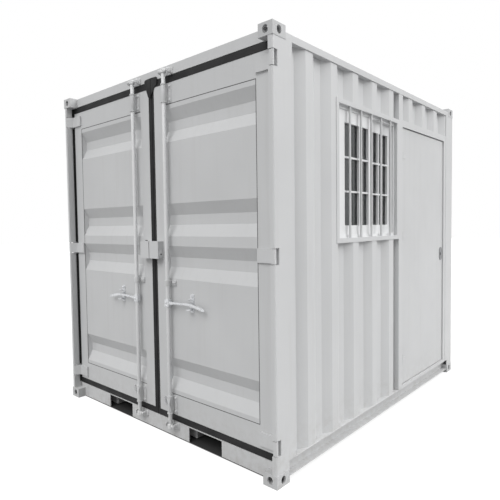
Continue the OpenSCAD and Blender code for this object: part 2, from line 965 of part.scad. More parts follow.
// One keeper: two cheeks on outward feet, open to the front
module keeper(z) {
    span = cam_reach + cam_gap;
    for (m = [0, 1]) {
        translate([rod_offset, -half_l, z])
            mirror([m, 0, 0]) {
                translate([span, rod_setback - cheek, 0])
                    cube([cheek, beam_setback - rod_setback + cheek, keeper_height]);
                translate([span, beam_setback - keeper_foot_thick, 0])
                    cube([cheek + keeper_foot, keeper_foot_thick, keeper_height]);
            }
    }
}

// Keepers on the header and the sill
module keepers() {
    color("silver")
        both_sides() {
            keeper(header_face_z + eps);
            keeper(sill_face_z - eps - keeper_height);
        }
}

// A tapered recess: two crossed wedges that share their middle
module press_block() {
    length = leaf_width - press_outer - press_inner;
    intersection() {
        rotate([90, 0, 90])
            linear_extrude(height = length)
            polygon([[-eps, 0], [0, 0], [press_depth, press_slope],
                [press_depth, press_height - press_slope], [0, press_height],
                [-eps, press_height]]);
        linear_extrude(height = press_height)
            polygon([[0, -eps], [0, 0], [press_end, press_depth],
                [length - press_end, press_depth], [length, 0], [length, -eps]]);
    }
}

// The pressed and folded steel of the left door
module leaf() {
    color("gainsboro")
        translate([-half_w + leaf_outer, -half_l + leaf_setback, 0])
        difference() {
            union() {
                difference() {
                    translate([0, 0, leaf_bottom])
                        cube([leaf_width, leaf_thick, leaf_height]);
                    translate([leaf_plate, leaf_plate, leaf_bottom + leaf_plate])
                        cube([leaf_width - 2 * leaf_plate, leaf_thick - 2 * leaf_plate,
                            leaf_height - 2 * leaf_plate]);
                    translate([leaf_frame, leaf_plate, leaf_bottom + leaf_frame])
                        cube([leaf_width - 2 * leaf_frame, leaf_thick,
                            leaf_height - 2 * leaf_frame]);
                }
                for (z = press_heights) {
                    translate([press_outer, leaf_plate, z])
                        press_block();
                }
            }
            for (z = press_heights) {
                translate([press_outer, 0, z])
                    press_block();
            }
        }
}

// The black seal round a door
module gasket() {
    top_z = post_top - gasket_gap;
    low_z = sill_face_z + gasket_gap;
    outer_x = rim_width + gasket_gap;
    color("dimgray")
        translate([-half_w, -half_l + gasket_y, 0])
        difference() {
            translate([outer_x, 0, low_z])
                cube([half_w - outer_x - gasket_half_gap, gasket_thick, top_z - low_z]);
            translate([leaf_outer, -eps, leaf_bottom])
                cube([leaf_width, gasket_thick + 2 * eps, leaf_height]);
        }
}

// Hinge blades and barrels on a door
module hinges() {
    color("silver")
        left_corner()
        for (z = hinge_heights) {
            translate([0, 0, z - blade_height / 2])
                difference() {
                    union() {
                        translate([pin_inset, pin_inset, 0])
                            cylinder(r = barrel_radius, h = blade_height);
                        linear_extrude(height = blade_height)
                            polygon([[pin_inset, pin_inset - barrel_radius],
                                [rim_width - blade_root, pin_inset - barrel_radius + eps],
                                [leaf_outer, leaf_setback - blade_thick],
                                [leaf_outer + blade_reach, leaf_setback - blade_thick],
                                [leaf_outer + blade_reach, leaf_setback],
                                [leaf_outer - blade_fillet, leaf_setback],
                                [pin_inset, pin_inset + blade_fillet]]);
                    }
                    translate([pin_inset, pin_inset, -eps])
                        cylinder(r = pin_radius + pin_clearance, h = blade_height + 2 * eps);
                }
        }
}

// One bearing: a plate on the door and a sleeve round the rod on a web
module bearing(z, width, height) {
    translate([0, rod_setback, z])
        difference() {
            union() {
                translate([-width / 2, leaf_setback - plate - rod_setback, 0])
                    cube([width, plate, height]);
                translate([-sleeve_web / 2, 0, 0])
                    cube([sleeve_web, leaf_setback - plate - rod_setback, height]);
                cylinder(r = sleeve_radius, h = height);
            }
            translate([0, 0, -eps])
                cylinder(r = rod_radius + pin_clearance, h = height + 2 * eps);
        }
}

// Bearings, guide and handle catch on the left door
module rod_guides() {
    color("silver")
        translate([-rod_offset, -half_l, 0]) {
            bearing(leaf_top - bearing_edge - bearing_height, bearing_width, bearing_height);
            bearing(leaf_bottom + bearing_edge, bearing_width, bearing_height);
            bearing(handle_z + guide_rise, guide_width, guide_height);
            translate([-catch_reach - catch_width / 2, leaf_setback - plate,
                handle_z - catch_drop])
                cube([catch_width, plate, catch_height]);
            translate([-catch_reach - catch_width / 2, rod_setback - handle_thick / 2,
                handle_z - handle_height / 2 - shelf_gap - shelf_thick])
                cube([catch_width, leaf_setback - rod_setback + handle_thick / 2, shelf_thick]);
        }
}

// Half of the box that covers the padlock
module lock_box() {
    half_width = box_width / 2 - box_half_gap;
    depth = leaf_setback - box_setback;
    color("whitesmoke")
        translate([-box_width / 2, -half_l + box_setback, box_z - box_height / 2])
        difference() {
            cube([half_width, depth, box_height]);
            translate([plate, plate, -eps])
                cube([half_width - plate + eps, depth - 2 * plate, box_height - plate + eps]);
        }
}

// Rod with its cams and handle, on the left door
module lock_rod() {
    color("silver")
        translate([-rod_offset, -half_l + rod_setback, 0]) {
            translate([0, 0, rod_bottom])
                cylinder(r = rod_radius, h = rod_top - rod_bottom);
            for (z = [cam_low_z, cam_top_z]) {
                translate([-cam_half, -cam_thick / 2, z])
                    cube([2 * cam_half, cam_thick, cam_height]);
            }
            translate([0, 0, handle_z - hub_height / 2])
                cylinder(r = hub_radius, h = hub_height);
            translate([-handle_reach, -handle_thick / 2, handle_z - handle_height / 2])
                cube([handle_reach, handle_thick, handle_height]);
        }
}

module left_leaf() { leaf(); }
module left_gasket() { gasket(); }
module left_hinges() { hinges(); }
module left_rod_guides() { rod_guides(); }
module left_lock_box() { lock_box(); }
module left_lock_rod() { lock_rod(); }
module right_leaf() { mirror([1, 0, 0]) leaf(); }
module right_gasket() { mirror([1, 0, 0]) gasket(); }
module right_hinges() { mirror([1, 0, 0]) hinges(); }
module right_rod_guides() { mirror([1, 0, 0]) rod_guides(); }
module right_lock_box() { mirror([1, 0, 0]) lock_box(); }
module right_lock_rod() { mirror([1, 0, 0]) lock_rod(); }

// The plain steel side door, with cut-outs for its hinge barrels
module side_leaf() {
    color("gainsboro")
        right_corner()
        difference() {
            translate([side_leaf_setback, side_leaf_y, side_leaf_z])
                cube([side_leaf_thick, side_leaf_width, side_leaf_height]);
            translate([side_leaf_setback + plate, side_leaf_y + plate, side_leaf_z + plate])
                cube([side_leaf_thick - 2 * plate, side_leaf_width - 2 * plate,
                    side_leaf_height - 2 * plate]);
            for (z = side_hinge_heights) {
                translate([0, side_leaf_y - eps, z - side_hinge_height / 2 - barrel_gap])
                    cube([side_pin_s + side_barrel + barrel_gap,
                        side_pin_y + side_barrel + barrel_gap - side_leaf_y + eps,
                        side_hinge_height + 2 * barrel_gap]);
            }
        }
}

// Middle knuckles and plates of the side door hinges
module side_hinges() {
    color("silver")
        right_corner()
        for (z = side_hinge_heights) {
            translate([0, 0, z - knuckle / 2 + knuckle_gap])
                difference() {
                    union() {
                        translate([side_pin_s, side_pin_y, 0])
                            cylinder(r = side_barrel, h = knuckle - 2 * knuckle_gap);
                        translate([side_leaf_setback - hinge_plate, side_pin_y, 0])
                            cube([hinge_plate, hinge_plate_length, knuckle - 2 * knuckle_gap]);
                    }
                    translate([side_pin_s, side_pin_y, -eps])
                        cylinder(r = side_pin + pin_clearance, h = knuckle + 2 * eps);
                }
        }
}

// Oval lock plate and knob on the side door
module side_lock() {
    color("silver")
        right_corner()
        translate([0, side_leaf_end - lock_margin, lock_z]) {
            translate([side_leaf_setback - lock_plate, 0, 0])
                rotate([90, 0, 90])
                rotate([0, 0, 90])
                oval(lock_plate_height, lock_plate_width, lock_plate);
            translate([side_inset, 0, 0])
                rotate([0, 90, 0])
                cylinder(r = knob_radius, h = side_leaf_setback - side_inset);
        }
}

bottom_castings();
top_castings();
front_posts();
rear_posts();
door_header();
door_sill();
rear_top_beam();
rear_bottom_beam();
top_side_rails();
bottom_side_rails();
fork_tubes();
cross_members();
floor_board();
roof_sheet();
left_wall();
rear_wall();
right_wall_front();
right_wall_below();
right_wall_above();
wall_over_door();
window_frame();
window_sashes();
window_glass();
window_bars();
jamb_post();
side_door_frame();
side_hinge_posts();
keepers();
left_leaf();
left_gasket();
left_hinges();
left_rod_guides();
left_lock_box();
right_leaf();
right_gasket();
right_hinges();
right_rod_guides();
right_lock_box();
left_lock_rod();
right_lock_rod();
side_leaf();
side_hinges();
side_lock();
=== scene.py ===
"""Looks of the short steel container: finishes for its CAD parts and the
small fittings that are too fine for them. Metres, +Z up, the cargo doors
face -Y, the window and the side door are on +X."""

import math

import bmesh
import bpy
from mathutils import Matrix, Vector


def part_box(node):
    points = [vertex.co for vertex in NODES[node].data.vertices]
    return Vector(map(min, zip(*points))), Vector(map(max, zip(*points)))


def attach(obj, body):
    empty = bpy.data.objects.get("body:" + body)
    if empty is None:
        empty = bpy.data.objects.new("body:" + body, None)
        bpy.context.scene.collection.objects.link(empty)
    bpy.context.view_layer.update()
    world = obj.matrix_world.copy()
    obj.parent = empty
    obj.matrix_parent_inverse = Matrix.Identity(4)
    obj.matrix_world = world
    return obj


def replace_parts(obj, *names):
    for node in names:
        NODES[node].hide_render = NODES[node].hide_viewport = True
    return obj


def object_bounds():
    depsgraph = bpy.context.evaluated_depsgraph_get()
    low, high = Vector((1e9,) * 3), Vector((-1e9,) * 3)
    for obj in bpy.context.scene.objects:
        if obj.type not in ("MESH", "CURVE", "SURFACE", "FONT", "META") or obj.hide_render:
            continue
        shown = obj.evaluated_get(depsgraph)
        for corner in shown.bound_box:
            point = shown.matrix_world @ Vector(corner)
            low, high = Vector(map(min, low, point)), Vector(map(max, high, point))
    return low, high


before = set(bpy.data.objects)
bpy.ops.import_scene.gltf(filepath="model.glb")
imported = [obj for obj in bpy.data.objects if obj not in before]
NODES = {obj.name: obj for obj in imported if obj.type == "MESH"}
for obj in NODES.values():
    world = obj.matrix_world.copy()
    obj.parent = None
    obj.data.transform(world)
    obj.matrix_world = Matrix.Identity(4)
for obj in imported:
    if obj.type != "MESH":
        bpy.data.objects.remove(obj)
CAD_BOX = [list(corner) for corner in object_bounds()]
LOW, HIGH = (Vector(corner) for corner in CAD_BOX)
FRONT = LOW.y
RIGHT = HIGH.x
MM = 0.001


# ---------------------------------------------------------------- camera

def place_camera():
    """A camera at standing height off the right front corner."""
    heading = math.radians(-41.96)
    down = math.radians(2.66)
    tilt = math.radians(-0.78)
    ahead = Vector((math.sin(heading) * math.cos(down),
                    math.cos(heading) * math.cos(down), -math.sin(down)))
    level = Vector((math.cos(heading), -math.sin(heading), 0))
    upward = level.cross(ahead)
    side = level * math.cos(tilt) + upward * math.sin(tilt)
    top = upward * math.cos(tilt) - level * math.sin(tilt)
    data = bpy.data.cameras.new("camera")
    data.sensor_width = 36.0
    data.lens = 33.57
    data.shift_x = 0.0078
    data.shift_y = -0.0062
    camera = bpy.data.objects.new("camera", data)
    bpy.context.collection.objects.link(camera)
    turn = Matrix((side, top, -ahead)).transposed().to_4x4()
    eye = (2.643, -3.299, 1.437)
    camera.matrix_world = Matrix.Translation(eye) @ turn
    bpy.context.scene.camera = camera


place_camera()


# ------------------------------------------------------- shared effects

def new_group(name, inputs, outputs):
    """An empty shader group with the named inputs and outputs."""
    group = bpy.data.node_groups.new(name, "ShaderNodeTree")
    kinds = {"v": "NodeSocketFloat", "c": "NodeSocketColor", "p": "NodeSocketVector"}
    for label, kind, value in inputs:
        socket = group.interface.new_socket(label, in_out="INPUT", socket_type=kinds[kind])
        if value is not None:
            socket.default_value = value
    for label, kind in outputs:
        group.interface.new_socket(label, in_out="OUTPUT", socket_type=kinds[kind])
    return group, group.nodes.new("NodeGroupInput"), group.nodes.new("NodeGroupOutput")


def add_noise(tree, vector, scale, detail=3.0, rough=0.5, stretch=None):
    """A noise texture on a vector, stretched along the axes if asked."""
    source = vector
    if stretch:
        mapping = tree.nodes.new("ShaderNodeMapping")
        mapping.inputs["Scale"].default_value = stretch
        tree.links.new(source, mapping.inputs["Vector"])
        source = mapping.outputs["Vector"]
    noise = tree.nodes.new("ShaderNodeTexNoise")
    noise.inputs["Detail"].default_value = detail
    noise.inputs["Roughness"].default_value = rough
    tree.links.new(source, noise.inputs["Vector"])
    if isinstance(scale, (int, float)):
        noise.inputs["Scale"].default_value = scale
    else:
        tree.links.new(scale, noise.inputs["Scale"])
    return noise.outputs["Fac"]


def add_range(tree, value, low, high, to_low=0.0, to_high=1.0):
    """A clamped change of range of one value."""
    node = tree.nodes.new("ShaderNodeMapRange")
    tree.links.new(value, node.inputs["Value"])
    for label, amount in (("From Min", low), ("From Max", high),
                          ("To Min", to_low), ("To Max", to_high)):
        node.inputs[label].default_value = amount
    return node.outputs["Result"]


def add_math(tree, action, first, second):
    """A sum or product of two values; either may be a plain number."""
    node = tree.nodes.new("ShaderNodeMath")
    node.operation = action
    for slot, value in enumerate((first, second)):
        if isinstance(value, (int, float)):
            node.inputs[slot].default_value = value
        else:
            tree.links.new(value, node.inputs[slot])
    return node.outputs["Value"]


def add_mix(tree, factor, first, second):
    """A mix of two colours; each may be a plain colour."""
    node = tree.nodes.new("ShaderNodeMix")
    node.data_type = "RGBA"
    tree.links.new(factor, node.inputs["Factor"])
    for label, value in (("A", first), ("B", second)):
        socket = [s for s in node.inputs if s.name == label and s.type == "RGBA"][0]
        if isinstance(value, (tuple, list)):
            socket.default_value = (*value, 1.0)
        else:
            tree.links.new(value, socket)
    return [s for s in node.outputs if s.type == "RGBA"][0]


def build_coat_group():
    """Sprayed paint: cloudy tone, rain streaks, dust low down and a faint
    spray texture."""
    group, given, result = new_group(
        "sprayed_coat",
        [("Place", "p", None), ("Paint", "c", (0.6, 0.6, 0.6, 1)),
         ("Shade", "c", (0.5, 0.5, 0.5, 1)), ("Dirt", "c", (0.3, 0.28, 0.25, 1)),
         ("Streaks", "v", 0.3), ("Dust Top", "v", 0.2), ("Roughness", "v", 0.4)],
        [("Color", "c"), ("Roughness", "v"), ("Height", "v")])
    place = given.outputs["Place"]
    cloud = add_range(group, add_noise(group, place, 1.7, 4.0), 0.3, 0.7)
    tone = add_mix(group, cloud, given.outputs["Paint"], given.outputs["Shade"])
    rain = add_noise(group, place, 3.0, 4.0, 0.6, (9.0, 9.0, 0.35))
    rain = add_math(group, "MULTIPLY", add_range(group, rain, 0.52, 0.78),
                    given.outputs["Streaks"])
    tone = add_mix(group, rain, tone, given.outputs["Dirt"])
    height = group.nodes.new("ShaderNodeSeparateXYZ")
    group.links.new(place, height.inputs["Vector"])
    low = group.nodes.new("ShaderNodeMapRange")
    group.links.new(height.outputs["Z"], low.inputs["Value"])
    group.links.new(given.outputs["Dust Top"], low.inputs["From Min"])
    low.inputs["From Max"].default_value = 0.0
    low.inputs["To Max"].default_value = 0.35
    specks = add_range(group, add_noise(group, place, 22.0, 5.0, 0.7), 0.42, 0.66)
    dust = add_math(group, "MULTIPLY", low.outputs["Result"], specks)
    tone = add_mix(group, dust, tone, given.outputs["Dirt"])
    group.links.new(tone, result.inputs["Color"])
    patchy = add_range(group, add_noise(group, place, 6.0, 3.0), 0.3, 0.7, -0.05, 0.07)
    rough = add_math(group, "ADD", given.outputs["Roughness"], patchy)
    group.links.new(rough, result.inputs["Roughness"])
    peel = add_noise(group, place, 260.0, 2.0)
    dents = add_noise(group, place, 3.2, 2.0)
    dents = add_math(group, "MULTIPLY", dents, 12.0)
    group.links.new(add_math(group, "ADD", peel, dents), result.inputs["Height"])
    return group


def build_grain_group():
    """A fine directional grain, for rubber, boards and rolled metal."""
    group, given, result = new_group(
        "fine_grain",
        [("Place", "p", None), ("Stretch", "p", (1, 1, 1)), ("Scale", "v", 60.0),
         ("Light", "c", (0.5, 0.5, 0.5, 1)), ("Dark", "c", (0.3, 0.3, 0.3, 1)),
         ("Roughness", "v", 0.5), ("Spread", "v", 0.15)],
        [("Color", "c"), ("Roughness", "v"), ("Height", "v")])
    scaled = group.nodes.new("ShaderNodeVectorMath")
    scaled.operation = "MULTIPLY"
    group.links.new(given.outputs["Place"], scaled.inputs[0])
    group.links.new(given.outputs["Stretch"], scaled.inputs[1])
    grain = add_noise(group, scaled.outputs["Vector"], given.outputs["Scale"], 5.0, 0.6)
    mask = add_range(group, grain, 0.3, 0.7)
    tone = add_mix(group, mask, given.outputs["Dark"], given.outputs["Light"])
    group.links.new(tone, result.inputs["Color"])
    wide = add_range(group, add_noise(group, given.outputs["Place"], 9.0), 0.3, 0.7, -0.5, 0.5)
    wide = add_math(group, "MULTIPLY", wide, given.outputs["Spread"])
    rough = add_math(group, "ADD", wide, given.outputs["Roughness"])
    group.links.new(rough, result.inputs["Roughness"])
    group.links.new(grain, result.inputs["Height"])
    return group


COAT = build_coat_group()
GRAIN = build_grain_group()


# ------------------------------------------------------------ materials

def start_material(name, group, values, bump, shader):
    """A material with one Principled shader fed by one shared group."""
    material = bpy.data.materials.new(name)
    material.use_nodes = True
    tree = material.node_tree
    tree.nodes.clear()
    out = tree.nodes.new("ShaderNodeOutputMaterial")
    skin = tree.nodes.new("ShaderNodeBsdfPrincipled")
    place = tree.nodes.new("ShaderNodeTexCoord")
    effect = tree.nodes.new("ShaderNodeGroup")
    effect.node_tree = group
    lift = tree.nodes.new("ShaderNodeBump")
    lift.inputs["Strength"].default_value = bump[0]
    lift.inputs["Distance"].default_value = bump[1]
    for label, value in values.items():
        socket = effect.inputs[label]
        if socket.type == "RGBA":
            value = (*value, 1.0)
        socket.default_value = value
    for label, value in shader.items():
        skin.inputs[label].default_value = value
    tree.links.new(place.outputs["Object"], effect.inputs["Place"])
    tree.links.new(effect.outputs["Color"], skin.inputs["Base Color"])
    tree.links.new(effect.outputs["Roughness"], skin.inputs["Roughness"])
    tree.links.new(effect.outputs["Height"], lift.inputs["Height"])
    tree.links.new(lift.outputs["Normal"], skin.inputs["Normal"])
    tree.links.new(skin.outputs["BSDF"], out.inputs["Surface"])
    return material


def coat(name, paint, shade, streaks=0.10, roughness=0.42, dust_top=0.35, bump=0.12):
    """A sprayed paint that varies between two tones."""
    return start_material(
        name, COAT,
        {"Paint": paint, "Shade": shade, "Dirt": (0.33, 0.31, 0.28), "Streaks": streaks,
         "Dust Top": dust_top, "Roughness": roughness},
        (bump, 0.0006), {"Specular IOR Level": 0.4})


def grain(name, light, dark, stretch, scale, roughness, bump, spread=0.15, **shader):
    """A fine-grained stuff: rubber, boards, plastic or bare metal."""
    return start_material(
        name, GRAIN,
        {"Light": light, "Dark": dark, "Stretch": stretch, "Scale": scale,
         "Roughness": roughness, "Spread": spread},
        bump, shader)


def pane_material():
    """Slightly smoky window glass with a faint film of dust."""
    material = bpy.data.materials.new("window_pane")
    material.use_nodes = True
    tree = material.node_tree
    skin = tree.nodes["Principled BSDF"]
    skin.inputs["Base Color"].default_value = (0.44, 0.48, 0.50, 1)
    skin.inputs["Transmission Weight"].default_value = 1.0
    skin.inputs["Metallic"].default_value = 0.0
    skin.inputs["IOR"].default_value = 1.45
    place = tree.nodes.new("ShaderNodeTexCoord")
    film = add_noise(tree, place.outputs["Object"], 14.0, 4.0)
    tree.links.new(add_range(tree, film, 0.35, 0.8, 0.02, 0.12), skin.inputs["Roughness"])
    return material


WALL_PAINT = coat("wall_paint", (0.57, 0.575, 0.58), (0.54, 0.545, 0.55))
DOOR_PAINT = coat("door_paint", (0.55, 0.555, 0.56), (0.515, 0.52, 0.525))
FRAME_PAINT = coat("frame_paint", (0.56, 0.565, 0.57), (0.53, 0.535, 0.54), 0.08, 0.38)
CASTING_PAINT = coat("casting_paint", (0.53, 0.535, 0.54), (0.46, 0.465, 0.47), 0.18, 0.5,
                     0.2, 0.5)
UNDER_PAINT = coat("underside_paint", (0.30, 0.305, 0.31), (0.22, 0.222, 0.225), 0.3, 0.6,
                   0.15, 0.4)
FITTING_PAINT = coat("fitting_paint", (0.56, 0.565, 0.57), (0.46, 0.465, 0.47), 0.2, 0.33,
                     0.3, 0.3)
ROD_PAINT = coat("rod_paint", (0.72, 0.725, 0.73), (0.66, 0.665, 0.67), 0.1, 0.28,
                 0.3, 0.1)
ZINC_PAINT = coat("painted_fittings", (0.66, 0.665, 0.67), (0.50, 0.505, 0.51), 0.25, 0.33,
                  0.3, 0.3)
ZINC = grain("zinc_plated_steel", (0.72, 0.73, 0.75), (0.50, 0.51, 0.52), (1, 1, 1), 90.0,
             0.34, (0.2, 0.0003), 0.2, Metallic=0.55)
# Near black for the weld beads: painted shade along the seams of the pressed door sheets.
WELD_SHADE = grain("joint_shadow", (0.10, 0.10, 0.102), (0.055, 0.055, 0.057), (1, 1, 1), 70.0,
              0.6, (0.2, 0.0002), 0.2)
LOCK_STEEL = grain("dull_lock_steel", (0.30, 0.305, 0.31), (0.17, 0.172, 0.176), (1, 1, 1),
                   120.0, 0.42, (0.2, 0.0003), 0.2, Metallic=0.8)
RUBBER = grain("door_seal_rubber", (0.012, 0.012, 0.0125), (0.006, 0.006, 0.0065),
               (1, 1, 0.3), 180.0, 0.62, (0.4, 0.0004), 0.2, **{"Specular IOR Level": 0.25})
SASH_PLASTIC = grain("sash_plastic", (0.74, 0.745, 0.75), (0.70, 0.705, 0.71), (1, 1, 1),
                     150.0, 0.33, (0.08, 0.0002), 0.1)
BOARDS = grain("floor_boards", (0.30, 0.19, 0.11), (0.16, 0.095, 0.05), (1.0, 0.06, 1.0),
               26.0, 0.6, (0.5, 0.0008), 0.2)
PANE = pane_material()


# ----------------------------------------------------- finish CAD parts

def finish(names, material):
    """Gives one material to each of the named CAD parts."""
    for name in names.split():
        node = NODES[name]
        node.data.materials.clear()
        node.data.materials.append(material)


finish("left_wall rear_wall right_wall_front right_wall_below right_wall_above "
       "wall_over_door roof_sheet", WALL_PAINT)
finish("left_leaf right_leaf side_leaf", DOOR_PAINT)
finish("front_posts rear_posts door_header door_sill rear_top_beam rear_bottom_beam "
       "top_side_rails bottom_side_rails window_frame jamb_post side_door_frame",
       FRAME_PAINT)
finish("bottom_castings top_castings", CASTING_PAINT)
finish("fork_tubes cross_members", UNDER_PAINT)
finish("left_hinges right_hinges window_bars side_hinges side_hinge_posts left_lock_box "
       "right_lock_box", FRAME_PAINT)
finish("keepers left_rod_guides right_rod_guides left_lock_rod right_lock_rod",
       FITTING_PAINT)
finish("left_gasket right_gasket", RUBBER)
finish("floor_board", BOARDS)
finish("window_sashes", SASH_PLASTIC)
finish("window_glass", PANE)
finish("side_lock", LOCK_STEEL)


# ----------------------------------------------------------- mesh tools

# Edges sharper than this stay crisp in smooth shading.
CREASE = math.radians(32.0)


def new_piece(name, body, material, draw):
    """A mesh piece that rides on a body; draw(bm) makes its shape."""
    bm = bmesh.new()
    draw(bm)
    bmesh.ops.recalc_face_normals(bm, faces=bm.faces)
    mesh = bpy.data.meshes.new(name)
    bm.to_mesh(mesh)
    bm.free()
    mesh.materials.append(material)
    piece = bpy.data.objects.new(name, mesh)
    bpy.context.collection.objects.link(piece)
    mesh.shade_smooth()
    mesh.set_sharp_from_angle(angle=CREASE)
    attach(piece, body)
    return piece


def block(bm, first, second):
    """A box between two opposite corners."""
    low = [min(a, b) for a, b in zip(first, second)]
    high = [max(a, b) for a, b in zip(first, second)]
    verts = [bm.verts.new((x, y, z)) for x in (low[0], high[0])
             for y in (low[1], high[1]) for z in (low[2], high[2])]
    for face in ((0, 1, 3, 2), (4, 6, 7, 5), (0, 4, 5, 1), (2, 3, 7, 6),
                 (0, 2, 6, 4), (1, 5, 7, 3)):
        bm.faces.new([verts[k] for k in face])


def join_rings(bm, rings, closed=False):
    """A skin over rings of points; it ends in caps or closes on itself."""
    made = [[bm.verts.new(point) for point in ring] for ring in rings]
    pairs = list(zip(made, made[1:]))
    if closed:
        pairs.append((made[-1], made[0]))
    else:
        bm.faces.new(made[0][::-1])
        bm.faces.new(made[-1])
    for first, second in pairs:
        for k in range(len(first)):
            j = (k + 1) % len(first)
            bm.faces.new((first[k], first[j], second[j], second[k]))


def turned(bm, profile, centre, along=(0, 0, 1), sides=20, closed=False):
    """A turned shape; the profile lists radius and distance along the axis."""
    turn = Vector(along).to_track_quat("Z", "Y")
    rings = []
    for radius, distance in profile:
        rings.append([Vector(centre) + turn @ Vector(
            (radius * math.cos(2 * math.pi * k / sides),
             radius * math.sin(2 * math.pi * k / sides), distance))
            for k in range(sides)])
    join_rings(bm, rings, closed)


def soft_ring(centre, wide, high, square=3.0, sides=16):
    """A rounded outline round a centre; wide and high are half sizes."""
    points = []
    for k in range(sides):
        angle = 2 * math.pi * (k + 0.5) / sides
        c, s = math.cos(angle), math.sin(angle)
        points.append(Vector(centre)
                      + Vector(wide) * math.copysign(abs(c) ** (2 / square), c)
                      + Vector(high) * math.copysign(abs(s) ** (2 / square), s))
    return points


def flat_plate(bm, outline, back, front, place):
    """A flat outline given thickness; place(u, v, depth) gives a point."""
    join_rings(bm, [[place(u, v, back) for u, v in outline],
                    [place(u, v, front) for u, v in outline]])


def slot_outline(half_wide, half_high, corners=6):
    """An upright outline with fully rounded ends."""
    straight = half_high - half_wide
    points = []
    for start, level in ((0, straight), (math.pi, -straight)):
        for k in range(corners + 1):
            angle = start + math.pi * k / corners
            points.append((half_wide * math.cos(angle), level + half_wide * math.sin(angle)))
    return points


def rounded_outline(half_wide, half_high, radius, corners=4):
    """A rectangle with rounded corners."""
    points = []
    for sx, sz, start in ((1, 1, 0), (-1, 1, 90), (-1, -1, 180), (1, -1, 270)):
        for k in range(corners + 1):
            angle = math.radians(start + 90 * k / corners)
            points.append((sx * (half_wide - radius) + radius * math.cos(angle),
                           sz * (half_high - radius) + radius * math.sin(angle)))
    return points


def bolt(bm, centre, along, size):
    """A washer, a hexagon head and a little dome."""
    turned(bm, [(size * 1.25, 0), (size * 1.25, size * 0.2), (size * 1.1, size * 0.28)],
           centre, along, 16)
    turned(bm, [(size, size * 0.26), (size, size * 0.8), (size * 0.82, size * 0.95)],
           centre, along, 6)
    turned(bm, [(size * 0.5, size * 0.9), (size * 0.42, size * 1.15),
                (size * 0.2, size * 1.28)], centre, along, 10)


# ------------------------------------------------------- places on the box

SIDES = (("left", -1), ("right", 1))
LEAF_LOW, LEAF_HIGH = (Vector(corner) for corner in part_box("right_leaf"))
LEAF_FACE = LEAF_LOW.y
LOCK_LOW, LOCK_HIGH = (Vector(corner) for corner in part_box("right_lock_rod"))
GUIDE_LOW, GUIDE_HIGH = (Vector(corner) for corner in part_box("right_rod_guides"))
BOX_LOW, BOX_HIGH = (Vector(corner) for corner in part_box("right_lock_box"))
POST_RIM = RIGHT - 34 * MM
HEADER_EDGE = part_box("door_header")[0][2] + 34 * MM
SILL_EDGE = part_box("door_sill")[1][2] - 33 * MM
ROD_X = 175 * MM
ROD_Y = FRONT + 27 * MM
ROD_R = 13.5 * MM
HANDLE_Z = 925 * MM
HINGE_HEIGHTS = (222 * MM, 1267 * MM, 2312 * MM)
OUT = Vector((0, -1, 0))


# ------------------------------------------------------------ door seals

def seal_rings(side):
    """The seal's section: how far it reaches from the leaf, and how deep."""
    section = ((0.0, 60.2), (-0.1, 58.7), (-0.1, 57.4), (0.05, 57.2), (0.35, 60.2),
               (0.74, 61.2), (0.93, 63), (1.0, 66.5), (0.97, 72), (0.9, 78), (0.4, 80),
               (0.0, 79))
    rings = []
    for reach, depth in section:
        outer = LEAF_HIGH.x + reach * (POST_RIM - MM - LEAF_HIGH.x)
        inner = LEAF_LOW.x - reach * (LEAF_LOW.x - 1.5 * MM)
        low = LEAF_LOW.z - reach * (LEAF_LOW.z - SILL_EDGE - MM)
        high = LEAF_HIGH.z + reach * (HEADER_EDGE - MM - LEAF_HIGH.z)
        y = FRONT + depth * MM
        rings.append([Vector((side * x, y, z)) for x, z in
                      ((inner, low), (outer, low), (outer, high), (inner, high))])
    return rings


def forward_lips(bm, side):
    """The seal's lip along the post, broken at the hinges."""
    stops = [SILL_EDGE + 8 * MM]
    for height in HINGE_HEIGHTS:
        stops += [height - 50 * MM, height + 50 * MM]
    stops.append(HEADER_EDGE - 8 * MM)
    for low, high in zip(stops[::2], stops[1::2]):
        rings = []
        for z in (low, high):
            rings.append([Vector((side * (POST_RIM - s * MM), FRONT + d * MM, z))
                          for s, d in ((1.2, 62), (1.0, 53), (1.8, 49), (3.6, 50), (5, 62))])
        join_rings(bm, rings)


def boot_outline(side):
    """The flap over the top of the seam, on one of the doors."""
    top = HEADER_EDGE
    corner = LEAF_HIGH.z
    if side < 0:
        low = [(1.5, corner - 64 * MM), (27, corner - 62 * MM), (52, corner - 4 * MM)]
    else:
        low = [(1.5, corner - 50 * MM), (27, corner - 30 * MM), (33, corner - 10 * MM),
               (46, corner - 4 * MM)]
    high = [(64, corner + 8 * MM), (68, corner + 14 * MM), (68, top + 8 * MM),
            (60, top + 17 * MM), (1.5, top + 19 * MM)]
    return [(side * x * MM, z) for x, z in low + high]


def draw_seal(side):
    """One door's seal: the ring round the leaf, its lips and the top flap."""
    def draw(bm):
        join_rings(bm, seal_rings(side), closed=True)
        forward_lips(bm, side)
        outline = boot_outline(side)
        middle = sum((Vector(p) for p in outline), Vector((0, 0))) / len(outline)
        rings = []
        for depth, shrink in ((58.6, 1.0), (54.6, 1.0), (53.2, 0.95)):
            rings.append([Vector((middle.x + (x - middle.x) * shrink, FRONT + depth * MM,
                                  middle.y + (z - middle.y) * shrink)) for x, z in outline])
        join_rings(bm, rings)
        block(bm, (side * 1.5 * MM, FRONT + 58.4 * MM, LEAF_HIGH.z + 2 * MM),
              (side * 40 * MM, FRONT + 61.5 * MM, HEADER_EDGE - 3 * MM))
    return draw


for label, side in SIDES:
    seal = new_piece("door_seal_" + label, label + "_door", RUBBER, draw_seal(side))
    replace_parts(seal, label + "_gasket")


# ------------------------------------------------------------- lock rods

